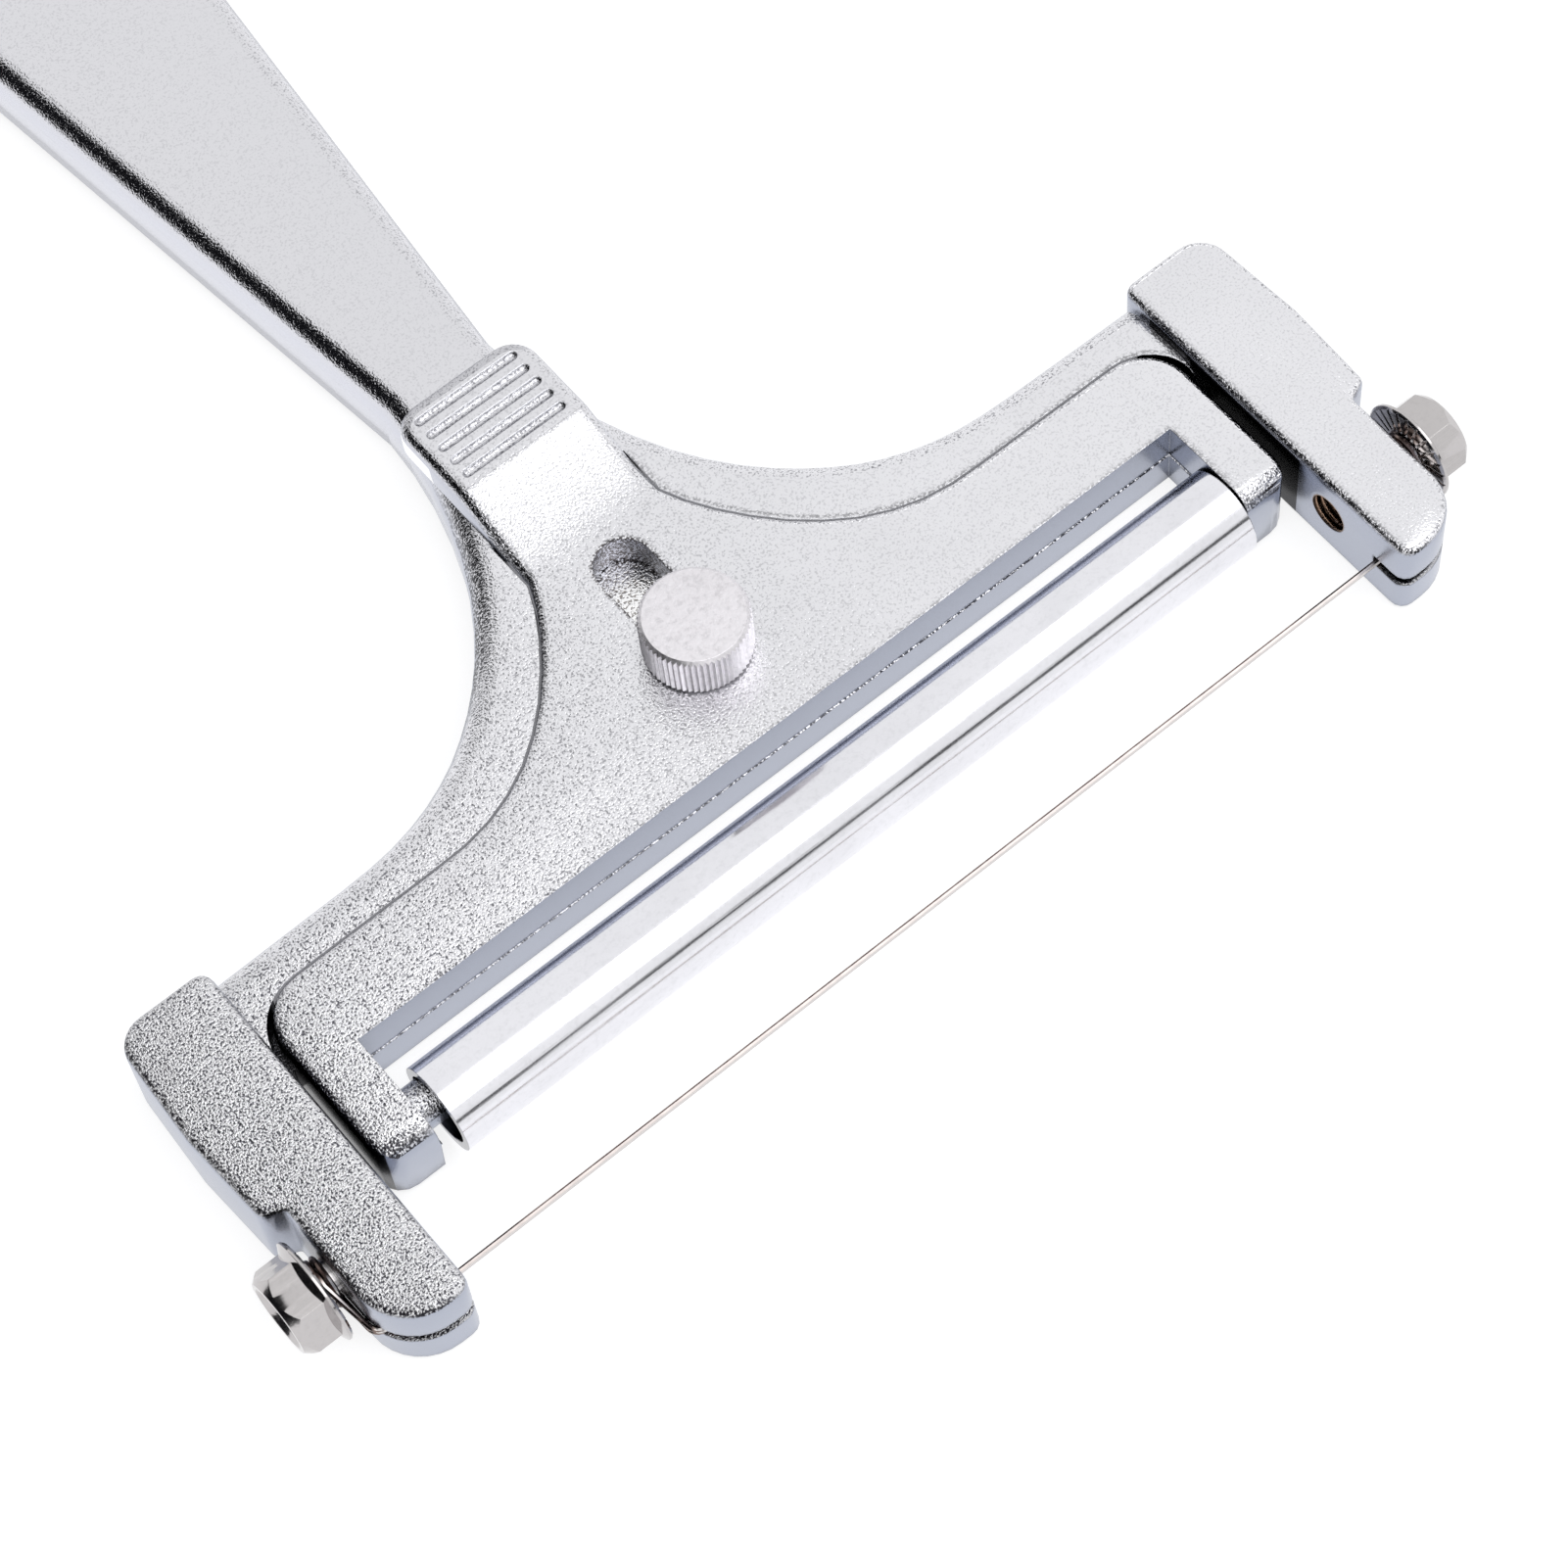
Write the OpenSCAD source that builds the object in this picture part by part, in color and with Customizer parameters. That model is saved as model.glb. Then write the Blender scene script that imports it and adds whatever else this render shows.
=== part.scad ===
// Adjustable wire cheese slicer, lying flat on its back.
// Millimetres. X runs along the cutting wire, Y toward the end of the handle, Z up.
// Inside the modules the cutting wire lies on Y = 0; home() moves it all to the middle.

/* [Frame arms] */
// Clear distance between the inner faces of the two arms
arm_gap = 108.2; // [96:0.2:130]
// Width of an arm behind the screw seat
arm_w = 10.4; // [9.8:0.1:13]
// Width of an arm at the screw seat
seat_w = 8.2; // [7.8:0.1:9]
// Height of an arm
arm_h = 10; // [9.6:0.1:12]
// Rounding of the upper edges of an arm
arm_edge_r = 0.7; // [0.4:0.05:0.8]
// Rounding of the lower edges of an arm
arm_low_r = 0.4; // [0.2:0.05:0.6]
// Distance from the wire back to the rear of an arm
arm_reach = 35.7; // [35:0.1:44]
// Distance from the wire forward to the tip of a nose
nose_reach = 3.8; // [3:0.1:5]
// Radius of the outer corner of a nose
nose_r = 5.6; // [4:0.1:5.8]
// Radius of the inner corner of a nose
nose_inner_r = 1.4; // [1.2:0.1:1.7]
// Radius of the outer rear corner of an arm
rear_r = 3.2; // [2:0.1:4.5]
// Radius of the inner rear corner of an arm
rear_inner_r = 1.4; // [1.2:0.1:2]
// Length of the slope between the wide part and the screw seat
step_len = 0.9; // [0.6:0.1:2]
// Radius of the outer corner of the slope
lip_r = 1; // [0.9:0.1:1.2]
// Radius of the hollow corner between the slope and the screw seat
root_r = 0.4; // [0.2:0.05:0.5]
// Free length of the screw seat behind the flange
seat_margin = 0.5; // [0.3:0.1:1.5]
// Outward bow of the wide side of an arm
side_bow = 0.5; // [0.1:0.1:0.8]

/* [Yoke and handle] */
// Thickness of the yoke and the handle
slab_h = 8.3; // [7.9:0.1:8.6]
// Rounding of the upper edges of the yoke and the handle
slab_edge_r = 3; // [1.5:0.1:3.6]
// Rounding of the lower edges of the yoke and the handle
slab_low_r = 1.2; // [0.8:0.1:2]
// Height of the underside of the yoke and the handle above the table
slab_lift = 0.2; // [0.1:0.05:0.5]
// Half width of the neck where the handle leaves the yoke
neck_half = 6.4; // [5.8:0.1:7.4]
// Distance from the wire back to the neck
neck_reach = 73; // [68:0.5:78]
// Length from the wire to the end of the handle
handle_len = 180; // [160:1:210]
// Radius of the round end of the handle
handle_end_r = 15.9; // [13:0.1:19]
// How far the rear edge of the yoke falls back toward the arms
rear_fall = 0.3; // [0.2:0.05:0.6]
// Half width of the yoke where its straight rear edge begins
yoke_flank_half = 42.5; // [38:0.5:48]
// Radius of the hanging hole
hang_r = 3.5; // [2.5:0.1:4.5]

/* [Adjuster plate] */
// Gap between the side of the plate and an arm
plate_side_gap = 0.9; // [0.6:0.1:1.6]
// Thickness of the flat plate
plate_t = 3.9; // [3.2:0.1:4.2]
// Depth of the pocket in the yoke below the top of the slab
pocket_depth = 3.35; // [2.8:0.05:4]
// Width of a lug beside the window
lug_w = 5.7; // [4.8:0.1:7]
// Distance from the wire to the front of a lug
lug_reach = 10.4; // [9.6:0.1:11]
// Distance from the wire to the front face of the bar
bar_reach = 21.3; // [20.4:0.1:22.2]
// Thickness of the front bar
bar_t = 3; // [2.4:0.1:3.6]
// Height of the underside of the bar and lugs above the table
bar_lift = 0.2; // [0.1:0.05:0.6]
// Distance from the wire to the rear edge of the flat plate
plate_reach = 30.6; // [29.8:0.1:31.5]
// Radius of the rear corners of the plate
plate_corner_r = 5; // [3:0.1:5]
// Radius of the front corners of the lugs in plan
lug_corner_r = 2.6; // [1.5:0.1:3.2]
// Rounding of the upper edge of the plate
plate_edge_r = 0.9; // [0.5:0.1:1.2]
// Rounding over the front of a lug
lug_round_r = 2.4; // [1.5:0.1:2.8]
// Width of the adjusting slot
slot_w = 5.8; // [5.4:0.1:6.6]
// Half width of the plate where its straight rear edge begins
plate_flank_half = 31.9; // [30:0.5:36]
// Distance from the wire to the end of the hollow flanks
flank_reach = 48.3; // [47:0.1:49.5]
// Height of the parting line above the table
parting_z = 4.8; // [4.2:0.1:5.6]
// Draft of the cast walls on each side of the parting line
cast_draft = 0.2; // [0.1:0.05:0.4]
// Height and projection of the flash along the parting line
flash = 0.14; // [0.08:0.02:0.2]

/* [Thumb tab] */
// Half width of the thumb tab
tab_half = 7.8; // [7:0.1:8.4]
// Height of the thumb tab above the flat plate
tab_rise = 2.6; // [2:0.1:3.4]
// Distance from the wire to the foot of the ramp
ramp_reach = 52.8; // [52:0.1:53.6]
// Length of the ramp
ramp_len = 6.1; // [5:0.1:8]
// Length of the flat top of the tab behind the ramp
tab_len = 10.8; // [9.6:0.1:14]
// Radius of the rear corners of the tab in plan
tab_corner_r = 3; // [2:0.1:4]
// Rounding of the upper edge of the tab
tab_edge_r = 1.4; // [0.9:0.1:1.6]
// Number of grip grooves
groove_n = 5; // [3:1:6]
// Distance between two grip grooves
groove_pitch = 1.86; // [1.6:0.02:2.2]
// Radius of a grip groove
groove_r = 0.55; // [0.45:0.05:0.7]
// Depth of a grip groove
groove_depth = 0.3; // [0.15:0.05:0.35]

/* [Roller] */
// Outer radius of the roller tube
roller_r = 4.55; // [4.2:0.05:4.8]
// Wall of the roller tube
roller_wall = 0.9; // [0.7:0.05:1.2]
// Free play of the roller between the lugs
roller_play = 2; // [1.5:0.1:4]
// Radius of the cast stubs that carry the roller
stub_r = 2.3; // [2:0.05:2.6]
// Length of a stub
stub_len = 4.6; // [4.2:0.1:6]

/* [Thumbscrew] */
// Radius over the knurl
thumb_r = 5.3; // [5:0.05:6.2]
// Height of the knurled head
thumb_h = 5.5; // [4:0.1:6]
// Chamfer of the head
thumb_chamfer = 0.45; // [0.2:0.05:0.7]
// Number of flutes in the knurl
flute_n = 60; // [40:2:72]
// Depth of a flute
flute_depth = 0.24; // [0.1:0.02:0.35]
// Radius of the thumbscrew shank
thumb_shank_r = 2.4; // [2:0.05:2.5]
// Distance from the wire to the thumbscrew
thumb_reach = 32.7; // [32.2:0.1:33.4]

/* [Clamp screws] */
// Distance from the wire to the clamp screws
screw_reach = 6.5; // [6:0.1:7.2]
// Height of the clamp screws above the table
screw_z = 5.3; // [5.1:0.05:5.5]
// Turn of the left hexagon about its axis
left_turn = -22; // [-30:1:30]
// Turn of the right hexagon about its axis
right_turn = 25; // [-30:1:30]
// Radius of the shank
screw_r = 2; // [1.8:0.05:2.3]
// Radius of the flange
flange_r = 5.25; // [4.8:0.05:5.5]
// Thickness of the flange
flange_t = 1.1; // [0.8:0.05:1.4]
// Hexagon across the flats
hex_af = 7.95; // [7:0.05:8]
// Height of the hexagon above the flange
hex_h = 3.2; // [2.4:0.1:3.6]
// Radius of the hollow in the head
dish_r = 3.2; // [2.4:0.1:3.3]
// Depth of the hollow in the head
dish_depth = 1.1; // [0.5:0.1:1.6]
// Length of the shank below the flange
screw_len = 7.3; // [6.4:0.1:8.4]
// Number of teeth under the flange
tooth_n = 24; // [16:1:30]
// Depth of the teeth under the flange
tooth_depth = 0.25; // [0.15:0.05:0.35]

/* [Cutting wire] */
// Radius of the wire
wire_r = 0.3; // [0.2:0.02:0.34]
// Height of the wire above the table
wire_z = 4.5; // [4.3:0.1:4.9]
// Radius of the bend at the outer side of a nose
wire_bend_r = 1; // [0.7:0.05:1.4]
// Full turns of the wire round a screw, beyond the first open loop
extra_turns = 1; // [0:1:1]

/* [Travel] */
// How far the slot reaches past the thumbscrew at rest
slot_over = 11.1; // [10:0.1:12]

/* [Hidden] */
$fn = 64;
// Clearances and overruns shared by all pieces
running_fit = 0.05;
rest_gap = 0.05;
pocket_gap = 0.15;
lay_gap = 0.02;
over = 2;
// Places that follow from the sizes above
inner_x = arm_gap / 2;
outer_x = inner_x + arm_w;
seat_x = inner_x + seat_w;
plate_half = inner_x - plate_side_gap;
window_half = plate_half - lug_w;
pocket_z = slab_h - pocket_depth;
plate_z = pocket_z + rest_gap;
plate_top = plate_z + plate_t;
bar_rear = bar_reach + bar_t;
yoke_front = bar_rear + pocket_gap;
yoke_end = inner_x + arm_w / 2;
tab_top = plate_top + tab_rise;
tab_under = slab_h + 3 * rest_gap;
tab_front = ramp_reach + ramp_len;
tab_rear = tab_front + tab_len;
tail_foot = ramp_reach - tab_edge_r - plate_edge_r;
tail_slope = tab_under - plate_z;
seat_end = screw_reach + flange_r + seat_margin;
handle_end = handle_len - handle_end_r;
// The roller lies on the table, drawn toward the wire as far as its stubs allow
stub_y = lug_reach + stub_r + lug_round_r - plate_edge_r / 2;
stub_z = (bar_lift + plate_top) / 2;
bore_r = roller_r - roller_wall;
hang_off = bore_r - stub_r - running_fit;
hang_y_share = 0.97;
roller_y = stub_y - hang_off * hang_y_share;
roller_z = roller_r + lay_gap;
roller_len = 2 * window_half - roller_play;
roller_right = window_half - flash - lay_gap;
// Slot in the plate
slot_r = slot_w / 2;
slot_front = thumb_reach - (slot_r - thumb_shank_r) / 2;
slot_rear = thumb_reach + slot_over;
// Wire eye round a clamp screw
wire_out_x = seat_x + wire_r + lay_gap;
wire_pitch = 2 * wire_r + lay_gap;
eye_r = screw_r + running_fit + wire_r;
apex_y = wire_bend_r;
main_rise = screw_z - wire_z;
tail_rise = main_rise - wire_pitch;
run = screw_reach - apex_y;
main_angle = 180 + atan2(main_rise, run) + acos(eye_r / norm([run, main_rise]));
tail_angle = 180 + atan2(tail_rise, run) - acos(eye_r / norm([run, tail_rise]));
eye_sweep = 360 - main_angle + tail_angle + 360 * extra_turns;
eye_advance = wire_pitch * eye_sweep / 360;
flange_x = wire_out_x + wire_r + eye_advance + lay_gap;
// Middle of the whole object along Y, from the tip of the noses to the handle end
mid_y = (handle_len - nose_reach) / 2;
// Hexagon head: radius over its corners, and how far up a bevel or the cone of the flange begins
corner_r = hex_af / 2 / cos(30);
rim_share = 0.67;
cone_share = 0.45;
// Counts of facets and steps
arc_n = 8;
side_n = 8;
turn_step = 18;

// Helpers
module home() { translate([0, -mid_y, 0]) children(); }
module both() { children(); mirror([1, 0, 0]) children(); }
function arc(cx, cy, r, a0, a1, n) =
    [for (i = [0:n]) let (a = a0 + (a1 - a0) * i / n) [cx + r * cos(a), cy + r * sin(a)]];
function flip(p) = [for (i = [len(p) - 1:-1:0]) [-p[i][0], p[i][1]]];
function unit(v) = v / norm(v);
function left_of(a, b) = let (d = unit(b - a)) [-d[1], d[0]];
// Moves every point of a closed outline inward by d
function inset(p, d) = let (n = len(p))
    [for (i = [0:n - 1])
        let (m = left_of(p[(i + n - 1) % n], p[i]), k = left_of(p[i], p[(i + 1) % n]))
        p[i] + d * (m + k) / (1 + m * k)];
// Faces of a stack of rings; each end is closed by strips from the right side to the left
function strip(n, i) = i + 1 == n - 2 - i ? [i, i + 1, n - 1 - i] : [i, i + 1, n - 2 - i, n - 1 - i];
function skin(rings, n) = concat(
    [for (i = [0:ceil(n / 2) - 2]) strip(n, i)],
    [for (k = [0:rings - 2], i = [0:n - 1], t = [0, 1])
        let (a = k * n + i, b = k * n + (i + 1) % n)
        t == 0 ? [a, a + n, b + n] : [a, b + n, b]],
    [for (i = [0:ceil(n / 2) - 2]) let (q = strip(n, i))
        [for (j = [len(q) - 1:-1:0]) q[j] + (rings - 1) * n]]);
// Upright slab with a rounded lower and upper edge
module rounded_slab(outline, z0, z1, low_r, high_r, low_n, high_n) {
    levels = concat(
        [for (k = [0:low_n]) let (a = 90 * k / low_n)
            [low_r * (1 - sin(a)), z0 + low_r * (1 - cos(a))]],
        [for (k = [0:high_n]) let (a = 90 * k / high_n)
            [high_r * (1 - cos(a)), z1 - high_r * (1 - sin(a))]]);
    n = len(outline);
    polyhedron(
        [for (l = levels) for (q = inset(outline, l[0])) [q[0], q[1], l[1]]],
        skin(len(levels), n));
}
// Tube of round section swept along points
module swept(p, r, sides) {
    n = len(p);
    lean = unit([1.1, -1, 1.35]);
    pts = [for (i = [0:n - 1])
        let (t = unit(p[min(i + 1, n - 1)] - p[max(i - 1, 0)]),
             u = unit(cross(t, lean)), v = cross(t, u))
        for (k = [0:sides - 1]) p[i] + r * (cos(360 * k / sides) * u + sin(360 * k / sides) * v)];
    polyhedron(pts, skin(n, sides));
}
module along_x(r, x0, x1, y, z) {
    translate([x0, y, z]) rotate([0, 90, 0]) cylinder(r = r, h = x1 - x0);
}
// Extrudes a profile drawn in Y and Z along X
module profile_x(p, x0, x1) {
    translate([x0, 0, 0]) rotate([90, 0, 90]) linear_extrude(x1 - x0) polygon(p);
}

// Outlines
// Hollow flank from a straight rear edge to a neck, as shares of its width and its length
yoke_flank_shares = [[1, 0], [0.92, 0.001], [0.83, 0.005], [0.755, 0.013], [0.685, 0.027],
    [0.62, 0.046], [0.557, 0.071], [0.497, 0.101], [0.438, 0.139], [0.38, 0.183], [0.322, 0.235],
    [0.265, 0.295], [0.21, 0.366], [0.158, 0.448], [0.11, 0.545], [0.067, 0.655],
    [0.032, 0.775], [0.01, 0.89], [0, 1]];
plate_flank_shares = [[1, 0], [0.87, 0.006], [0.74, 0.035], [0.62, 0.09], [0.5, 0.172],
    [0.39, 0.28], [0.285, 0.41], [0.19, 0.56], [0.11, 0.71], [0.045, 0.86], [0, 1]];
function flank(shares, half, rear, narrow, neck) =
    [for (s = shares) [narrow + (half - narrow) * s[0], rear + (neck - rear) * s[1]]];
slab_right = concat(
    [[yoke_end, yoke_front], [yoke_end, arm_reach - slab_lift - rear_fall]],
    flank(yoke_flank_shares, yoke_flank_half, arm_reach - slab_lift, neck_half, neck_reach),
    arc(0, handle_end, handle_end_r, 0, 90, arc_n));
slab_outline = concat(slab_right, [for (i = [1:len(slab_right) - 1]) flip(slab_right)[i]]);
// The slope behind the screw seat runs into the seat and into the wide side by two radii
step_angle = atan2(step_len, outer_x - seat_x);
bend_share = (1 - sin(step_angle)) / cos(step_angle);
lip_y = seat_end + step_len + lip_r * bend_share;
root_y = seat_end - root_r * bend_share;
arm_outer = concat(
    arc(seat_x - nose_r, nose_r - nose_reach, nose_r, 270, 360, arc_n),
    arc(seat_x + root_r, root_y, root_r, 180, 90 + step_angle, arc_n / 2),
    arc(outer_x - lip_r, lip_y, lip_r, step_angle - 90, 0, arc_n / 2),
    [[outer_x + side_bow, (lip_y + arm_reach - rear_r) / 2]],
    arc(outer_x - rear_r, arm_reach - rear_r, rear_r, 0, 90, arc_n));
// Inner side of an arm at a place y, straight between two round corners
function round_in(r, d) = d < r ? r - sqrt(r * r - (r - d) * (r - d)) : 0;
function inner_side(y) =
    inner_x + round_in(nose_inner_r, y + nose_reach) + round_in(rear_inner_r, arm_reach - y);
arm_outline = concat(arm_outer, [for (i = [len(arm_outer) - 1:-1:0])
    [inner_side(arm_outer[i][1]), arm_outer[i][1]]]);
// Plan of the plate, grown by g at the rear and with its sides at half width w
function plan_right(w, g, corner, front, tail, skip) = concat(
    skip > 0 ? [] : arc(w - lug_corner_r, front + lug_corner_r, lug_corner_r, 270, 360, arc_n / 2),
    arc(w - corner, plate_reach + g - rear_fall / 2 - corner, corner, 0, 90, arc_n),
    flank(plate_flank_shares, plate_flank_half, plate_reach + g, tab_half + g, flank_reach),
    [[tab_half + g, tail]]);
function plan(w, g, corner, front, tail) =
    let (p = plan_right(w, g, corner, front, tail, 0)) concat(p, flip(p));

// Frame casting
module frame_casting() color("silver") home() difference() {
    union() {
        difference() {
            rounded_slab(slab_outline, slab_lift, slab_h, slab_low_r, slab_edge_r, 2, 4);
            pocket();
        }
        both() rounded_slab(arm_outline, 0, arm_h, arm_low_r, arm_edge_r, 1, 3);
    }
    translate([0, thumb_reach, -over])
        cylinder(r = thumb_shank_r + running_fit, h = slab_h + 2 * over);
    translate([0, handle_end, -over]) cylinder(r = hang_r, h = slab_h + 2 * over);
    both() along_x(screw_r + running_fit, inner_x - over, outer_x + over, screw_reach, screw_z);
    both() wire_groove();
}
// Pocket that the adjuster plate lies in, open toward the wire and closed by the arms
pocket_r = plate_corner_r + plate_side_gap;
pocket_right = concat(
    [[inner_x + over, yoke_front - over], [inner_x + over, plate_reach + pocket_gap - rear_fall / 2 - pocket_r]],
    plan_right(inner_x, pocket_gap, pocket_r, yoke_front - over, tab_front, 1));
module pocket() intersection() {
    translate([0, 0, pocket_z]) linear_extrude(slab_h) polygon(concat(pocket_right, flip(pocket_right)));
    profile_x([[yoke_front - over, pocket_z - over], [yoke_front - over, pocket_z],
               [tail_foot + pocket_gap, pocket_z],
               [tail_foot + pocket_gap + tail_slope, pocket_z + tail_slope],
               [tail_foot + pocket_gap + tail_slope, slab_h + over],
               [yoke_front - over, slab_h + over]], -inner_x - 2 * over, inner_x + 2 * over);
}
// Groove round a nose that guides the wire
module wire_groove() {
    low = wire_z - wire_r - running_fit;
    corner = wire_bend_r - wire_r - lay_gap;
    translate([0, 0, low]) linear_extrude(2 * wire_r + wire_pitch + 2 * running_fit) difference() {
        translate([inner_x - over, -nose_reach - over])
            square([seat_w + 2 * over, nose_reach + over + wire_bend_r]);
        translate([inner_x - 2 * over, wire_r + lay_gap])
            square([seat_w + 2 * over - wire_bend_r + wire_r + lay_gap, nose_reach + over]);
        translate([inner_x - 2 * over, wire_bend_r])
            square([seat_w + 2 * over, nose_reach + over]);
        translate([wire_out_x - wire_bend_r, wire_bend_r]) circle(r = corner);
    }
}

// Adjuster plate with thumb tab, front bar, lugs and roller stubs
module adjuster_plate() color("gainsboro") home() {
    difference() {
        union() {
            rounded_slab(plan(plate_half, 0, plate_corner_r, lug_reach, tail_foot + tail_slope),
                         bar_lift, plate_top, plate_edge_r / 2, plate_edge_r, 2, 3);
            thumb_tab();
        }
        window();
        under_plate();
        both() lug_round();
        translate([0, 0, plate_z - over]) linear_extrude(plate_t + 2 * over) slot_shape();
        grip_grooves();
    }
    both() along_x(stub_r, window_half - stub_len, window_half + stub_r, stub_y, stub_z);
}
module slot_shape() {
    translate([0, slot_front]) circle(r = slot_r);
    translate([0, slot_rear]) circle(r = slot_r);
    translate([-slot_r, slot_front]) square([slot_w, slot_rear - slot_front]);
}
// Cast walls of the window lean away from a parting line with a thin flash
module window() intersection() {
    profile_x([[lug_reach - over, bar_lift - over], [bar_reach + cast_draft, bar_lift - over],
               [bar_reach + cast_draft, bar_lift], [bar_reach, parting_z - flash],
               [bar_reach - flash, parting_z - flash / 2],
               [bar_reach - flash, parting_z + flash / 2], [bar_reach, parting_z + flash],
               [bar_reach + cast_draft, plate_top], [bar_reach + cast_draft, plate_top + over],
               [lug_reach - over, plate_top + over]], -inner_x, inner_x);
    translate([0, bar_reach + over, 0]) rotate([90, 0, 0])
        linear_extrude(bar_reach - lug_reach + 2 * over) polygon(concat(lug_wall, flip(lug_wall)));
}
lug_wall = [[window_half + cast_draft, bar_lift - over], [window_half + cast_draft, bar_lift],
            [window_half, parting_z - flash], [window_half - flash, parting_z - flash / 2],
            [window_half - flash, parting_z + flash / 2], [window_half, parting_z + flash],
            [window_half + cast_draft, plate_top], [window_half + cast_draft, plate_top + over]];
module under_plate() profile_x(
    [[bar_rear, bar_lift - over], [bar_rear, plate_z], [tail_foot, plate_z],
     [tail_foot + tail_slope, tab_under], [tab_rear + over, tab_under],
     [tab_rear + over, bar_lift - over]], -plate_half - over, plate_half + over);
module lug_round() difference() {
    translate([window_half - over, lug_reach - over, plate_top - lug_round_r])
        cube([plate_half - window_half + 2 * over, lug_round_r + over, lug_round_r + over]);
    along_x(lug_round_r, window_half - 2 * over, plate_half + 2 * over,
            lug_reach + lug_round_r, plate_top - lug_round_r);
}
// One corner of the tab, round in plan and round at its upper edge
module tab_post(x, y, r, top) {
    translate([x, y, 0]) rotate_extrude($fn = 28) polygon(concat(
        [[0, plate_z], [r, plate_z]],
        arc(r - tab_edge_r, top - tab_edge_r, tab_edge_r, 0, 90, 4), [[0, top]]));
}
module thumb_tab() hull() both() {
    tab_post(tab_half - tab_edge_r - plate_edge_r / 4, ramp_reach - tab_edge_r,
             tab_edge_r + plate_edge_r / 4, plate_top);
    tab_post(tab_half - tab_edge_r - plate_edge_r / 4, tab_front,
             tab_edge_r + plate_edge_r / 4, tab_top);
    tab_post(tab_half - tab_corner_r, tab_rear - tab_corner_r, tab_corner_r, tab_top);
}
module grip_grooves() {
    last = tab_rear - tab_corner_r + tab_edge_r / 2;
    half = tab_half - tab_edge_r - groove_depth;
    for (i = [0:groove_n - 1])
        translate([0, last - i * groove_pitch, tab_top + groove_r - groove_depth]) {
            rotate([0, 90, 0]) cylinder(r = groove_r, h = 2 * half - 2 * groove_r,
                                        center = true, $fn = 32);
            both() translate([half - groove_r, 0, 0]) sphere(r = groove_r, $fn = 32);
        }
}

// Roller tube
module roller_tube() color("lightsteelblue") home() difference() {
    along_x(roller_r, roller_right - roller_len, roller_right, roller_y, roller_z);
    along_x(bore_r, roller_right - roller_len - over, roller_right + over, roller_y, roller_z);
}

// Thumbscrew
module thumbscrew() color("lightgrey") home() translate([0, thumb_reach, plate_top + rest_gap]) {
    intersection() {
        linear_extrude(thumb_h) polygon([for (i = [0:2 * flute_n - 1])
            let (r = thumb_r - (i % 2) * flute_depth)
            [r * cos(180 * i / flute_n), r * sin(180 * i / flute_n)]]);
        rotate_extrude() polygon([[0, 0], [thumb_r - thumb_chamfer, 0],
            [thumb_r + thumb_chamfer, 2 * thumb_chamfer],
            [thumb_r + thumb_chamfer, thumb_h - 2 * thumb_chamfer],
            [thumb_r - thumb_chamfer, thumb_h], [0, thumb_h]]);
    }
    shank_tip = pocket_z - slab_edge_r / 2;
    translate([0, 0, -plate_t - rest_gap * 2 - shank_tip])
        rotate_extrude() polygon([[0, 0], [thumb_shank_r - thumb_chamfer, 0],
            [thumb_shank_r, thumb_chamfer], [thumb_shank_r, plate_t + rest_gap * 2 + shank_tip + thumb_chamfer],
            [0, plate_t + rest_gap * 2 + shank_tip + thumb_chamfer]]);
}

// Clamp screws
module clamp_screw(turn) {
    translate([flange_x, screw_reach, screw_z]) rotate([0, 90, 0]) rotate([0, 0, turn]) {
        difference() {
            union() {
                rotate_extrude() polygon([[0, 0], [flange_r - tooth_depth, 0], [flange_r, tooth_depth],
                    [flange_r, flange_t * cone_share], [hex_af / 2, flange_t], [0, flange_t]]);
                intersection() {
                    cylinder(r = corner_r, h = flange_t + hex_h, $fn = 6);
                    rotate_extrude() polygon([[0, 0], [hex_af, 0], [hex_af, flange_t],
                        [corner_r, flange_t + hex_h * rim_share],
                        [hex_af / 2 - tooth_depth, flange_t + hex_h], [0, flange_t + hex_h]]);
                }
            }
            translate([0, 0, flange_t + hex_h - dish_depth])
                rotate_extrude() polygon([[0, 0], [dish_r * rim_share, 0], [dish_r, dish_depth],
                    [dish_r, dish_depth + over], [0, dish_depth + over]]);
            for (i = [0:tooth_n - 1]) rotate([0, 0, 360 * i / tooth_n])
                translate([eye_r + wire_r, 0, 0]) rotate([45, 0, 0])
                    translate([0, -tooth_depth / 2, -tooth_depth / 2])
                        cube([flange_r, tooth_depth, tooth_depth]);
        }
        translate([0, 0, -screw_len]) rotate_extrude() polygon([[0, 0], [screw_r - tooth_depth, 0],
            [screw_r, tooth_depth], [screw_r, screw_len + tooth_depth], [0, screw_len + tooth_depth]]);
    }
}
module clamp_screw_right() color("darkgrey") home() clamp_screw(right_turn);
module clamp_screw_left() color("darkgrey") home() mirror([1, 0, 0]) clamp_screw(left_turn);

// Cutting wire: one strand from the tail of the left eye to the tail of the right eye
bend_n = 5;
turn_n = round(eye_sweep / turn_step);
wire_half = concat(
    [for (i = [0:bend_n]) let (a = -90 + 90 * i / bend_n)
        [wire_out_x - wire_bend_r + wire_bend_r * cos(a),
         wire_bend_r + wire_bend_r * sin(a), wire_z]],
    [for (i = [0:turn_n]) let (s = i / turn_n, a = main_angle + eye_sweep * s)
        [wire_out_x + eye_advance * s, screw_reach + eye_r * cos(a), screw_z + eye_r * sin(a)]],
    [for (i = [bend_n:-1:0]) let (a = -90 + 90 * i / bend_n)
        [wire_out_x - wire_bend_r + wire_bend_r * cos(a),
         wire_bend_r + wire_bend_r * sin(a), wire_z + wire_pitch]],
    [[wire_out_x - 2 * wire_bend_r, 0, wire_z + wire_pitch]]);
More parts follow.
